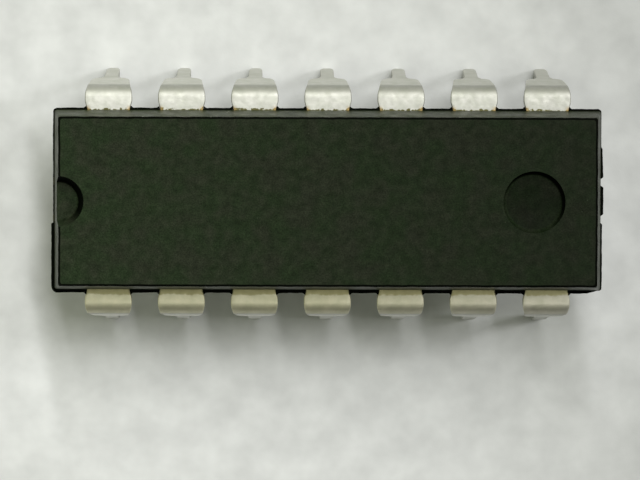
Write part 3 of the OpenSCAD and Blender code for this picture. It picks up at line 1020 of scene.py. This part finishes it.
def metal_material(name, colours, roughness, stretch=None):
    """Rolled or drawn metal: faint streaks along x, and dark where it is cut off at the ends."""
    material, tree, here = new_material(name)
    streak = noise_value(tree, here, METAL_STREAK_SIZE, detail=3, roughness=0.6,
                         stretch=stretch)
    colour = mix_colour(tree, remap(tree, streak, NOISE_LOW, NOISE_HIGH), *colours)
    end = remap(tree, sideways(tree, here, "X"), (HALF_LENGTH - CUT_END_DEPTH[0]) * MM,
                (HALF_LENGTH - CUT_END_DEPTH[1]) * MM)
    colour = mix_colour(tree, end, colour, CUT_END)
    rough = remap(tree, streak, NOISE_LOW, NOISE_HIGH, roughness - METAL_ROUGH_RANGE,
                  roughness + METAL_ROUGH_RANGE)
    surface(tree, Base_Color=colour, Metallic=1.0, Roughness=rough,
            Normal=bump(tree, streak, METAL_RELIEF))
    return material


def silicon_material():
    """Ground die: blue-grey with a grid of streets faintly lighter."""
    material, tree, here = new_material("ground_silicon")
    cells = add(tree, "ShaderNodeTexVoronoi",
                {"Vector": here, "Scale": 1 / (SILICON_CELL * MM),
                 "Randomness": SILICON_IRREGULAR}, distance="CHEBYCHEV").outputs["Distance"]
    colour = mix_colour(tree, remap(tree, cells, *SILICON_STREET), *SILICON)
    rough = varied(tree, here, SILICON_ROUGH_SIZE, *SILICON_ROUGH)
    surface(tree, Base_Color=colour, Metallic=SILICON_METAL, Roughness=rough)
    return material


def adhesive_material():
    """Silver-filled paste: grey with bright flakes."""
    material, tree, here = new_material("die_adhesive")
    flakes = remap(tree, noise_value(tree, here, ADHESIVE_FLAKE_SIZE, roughness=0.7),
                   *ADHESIVE_FLAKE_NOISE)
    colour = mix_colour(tree, flakes, *ADHESIVE)
    relief = bump(tree, noise_value(tree, here, ADHESIVE_RELIEF_SIZE), ADHESIVE_RELIEF)
    surface(tree, Base_Color=colour, Metallic=ADHESIVE_METAL, Roughness=ADHESIVE_ROUGH,
            Normal=relief)
    return material


def dress(node, material):
    """Gives a CAD node that stays as it is a finished material."""
    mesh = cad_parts[node].data
    mesh.materials.clear()
    mesh.materials.append(material)


# Stage

CAMERA_PLACE = Vector((-1.503547, 7.206549, 172.158246))
CAMERA_TILT = (-0.051499, -0.007284, 0.003052)
CAMERA_LENS = 270.2
CAMERA_REACH = 5000
KEY_PLACE = Vector((49, 253, 500))
KEY_SIZE = (30, 468)
KEY_TURN = math.radians(13)
KEY_RADIANCE = 45
SIDE_WAY = (math.radians(16), math.radians(40))
SIDE_DISTANCE = 600
SIDE_SIZE = (101, 160)
SIDE_RADIANCE = 16.7
FLOOR_SIZE = 4000
ROOM_LEVEL = 0.31
ROOM_TILT = (-0.15, 0.33)
ROOM_COLOUR = (1.0, 1.05, 0.8, 1)
ROOM_SEEN = (0.6, 0.61, 0.58, 1)
LAMP_COLOUR = (1.0, 1.0, 0.975)
PAPER = (0.835, 0.842, 0.865, 1)
PAPER_LEVEL = 0.955
PAPER_UNIT = 10
# Painted light falloff across the paper: straight and curved parts, per ten millimetres.
PAPER_PAINTED_FALLOFF = (-0.115, -0.08)
PAPER_PAINTED_FALLOFF_CURVE = (-0.068, -0.12)
PAPER_RANGE = (0.66, 1.12)
PAPER_LUMP_SIZE = 1.2
PAPER_LUMPS = (0.925, 1.075)
PAPER_FIBRE_SIZE = 0.25
PAPER_FIBRES = (0.99, 1.01)
PAPER_RELIEF_SIZE = 0.12
PAPER_RELIEF = 0.003
PAPER_ROUGH = 0.9
PAPER_GLOSS = 0.1


def make_camera():
    """The camera, nearly overhead, at the photograph's angle."""
    data = bpy.data.cameras.new("camera")
    data.lens = CAMERA_LENS
    data.clip_start, data.clip_end = MM, CAMERA_REACH * MM
    camera = bpy.data.objects.new("camera", data)
    bpy.context.scene.collection.objects.link(camera)
    tilt_x, tilt_y, roll = CAMERA_TILT
    turn = (Matrix.Rotation(roll, 4, "Z") @ Matrix.Rotation(tilt_y, 4, "Y")
            @ Matrix.Rotation(tilt_x, 4, "X"))
    camera.matrix_world = Matrix.Translation(CAMERA_PLACE * MM) @ turn
    bpy.context.scene.camera = camera


def make_lamp(name, matrix, size, radiance):
    """A rectangular lamp, given the radiance of its face."""
    data = bpy.data.lights.new(name, "AREA")
    data.shape = "RECTANGLE"
    data.size, data.size_y = size[0] * MM, size[1] * MM
    data.energy = radiance * math.pi * data.size * data.size_y
    data.color = LAMP_COLOUR
    lamp = bpy.data.objects.new(name, data)
    bpy.context.scene.collection.objects.link(lamp)
    lamp.matrix_world = matrix


def make_lamps():
    """A strip light overhead towards the rear, and a smaller lamp to the right."""
    key = Matrix.Translation(KEY_PLACE * MM) @ Matrix.Rotation(KEY_TURN, 4, "Z")
    make_lamp("strip_light", key, KEY_SIZE, KEY_RADIANCE)
    turn, rise = SIDE_WAY
    way = Vector((math.cos(rise) * math.cos(turn), math.cos(rise) * math.sin(turn), math.sin(rise)))
    side = way.to_track_quat("Z", "Y").to_matrix().to_4x4()
    make_lamp("side_light", Matrix.Translation(way * SIDE_DISTANCE * MM) @ side,
              SIDE_SIZE, SIDE_RADIANCE)


def make_world():
    """A pale room, brighter to the rear and the right."""
    world = bpy.data.worlds.new("room")
    bpy.context.scene.world = world
    world.use_nodes = True
    tree = world.node_tree
    tree.nodes.clear()
    way = add(tree, "ShaderNodeTexCoord").outputs["Generated"]
    right = product(tree, along(tree, way, "X"), ROOM_TILT[0])
    rear = product(tree, along(tree, way, "Y"), ROOM_TILT[1])
    level = total(tree, right, rear, ROOM_LEVEL)
    room = mix_colour(tree, 1.0, spread(tree, level), ROOM_COLOUR, "MULTIPLY")
    seen = add(tree, "ShaderNodeLightPath").outputs["Is Camera Ray"]
    colour = mix_colour(tree, seen, room, ROOM_SEEN)
    light = add(tree, "ShaderNodeBackground", {"Color": colour, "Strength": 1.0})
    add(tree, "ShaderNodeOutputWorld", {"Surface": light.outputs[0]})


def floor_material():
    """Plain white paper with soft lumps, darker away from the chip and to the right by a painted
    light falloff.
    """
    material, tree, here = new_material("paper")
    x, y = [product(tree, along(tree, here, axis), 1 / (PAPER_UNIT * MM)) for axis in "XY"]
    # Painted light falloff across the paper, clamped to a range.
    painted_falloff = total(tree, product(tree, x, PAPER_PAINTED_FALLOFF[0]), product(tree, y, PAPER_PAINTED_FALLOFF[1]),
                 product(tree, x, x, PAPER_PAINTED_FALLOFF_CURVE[0]), product(tree, y, y, PAPER_PAINTED_FALLOFF_CURVE[1]))
    level = math_node(tree, "MINIMUM", total(tree, painted_falloff, PAPER_LEVEL), PAPER_RANGE[1])
    level = math_node(tree, "MAXIMUM", level, PAPER_RANGE[0])
    lumps = varied(tree, here, PAPER_LUMP_SIZE, *PAPER_LUMPS, roughness=0.55)
    fibres = varied(tree, here, PAPER_FIBRE_SIZE, *PAPER_FIBRES, detail=3, roughness=0.6)
    colour = scaled(tree, scaled(tree, PAPER, level), product(tree, lumps, fibres))
    relief = bump(tree, noise_value(tree, here, PAPER_RELIEF_SIZE, detail=3, roughness=0.6),
                  PAPER_RELIEF)
    surface(tree, Base_Color=colour, Roughness=PAPER_ROUGH, Normal=relief,
            Specular_IOR_Level=PAPER_GLOSS)
    return material


def make_floor():
    """A sheet of paper wide enough for every view."""
    half = FLOOR_SIZE / 2
    corners = [(-half, -half, 0), (half, -half, 0), (half, half, 0), (-half, half, 0)]
    floor = mesh_object("paper_floor", corners, [(0, 1, 2, 3)], [floor_material()])


# The scene

bpy.context.scene.view_settings.view_transform = "Standard"
make_camera()
make_lamps()
make_world()
make_floor()

make_body([
    mould_material("mould_compound", tone=1.25, roughness=0.56, gloss=0.07),
    # Rounded rims and flash, painted near black as painted shade along the moulding's edges.
    mould_material("mould_edge_painted_shade", tone=0.12, roughness=0.6, gloss=0.03),
    mould_material("mould_pocket", tone=0.8, roughness=0.5, gloss=0.04),
    mould_material("mould_wall", tone=1.3, roughness=0.44, gloss=0.17, relief_depth=0.008,
                   film=0.27),
    # Notch and mark walls, with painted shade on the sides that face away from the lamps.
    mould_material("mould_recess_painted_shade", tone=1.25, roughness=0.56, gloss=0.03, painted_recess_shade=True),
])

tin = tin_material()
gold = metal_material("gold_wire", GOLD, GOLD_ROUGH)
for number in range(1, 2 * LEADS_PER_ROW + 1):
    make_lead(number, tin)
    dress(f"bond_wire_{number:02d}", gold)
dress("die_paddle", metal_material("frame_copper", COPPER, COPPER_ROUGH, BRUSHED_STRETCH))
dress("die_attach", adhesive_material())
dress("silicon_die", silicon_material())
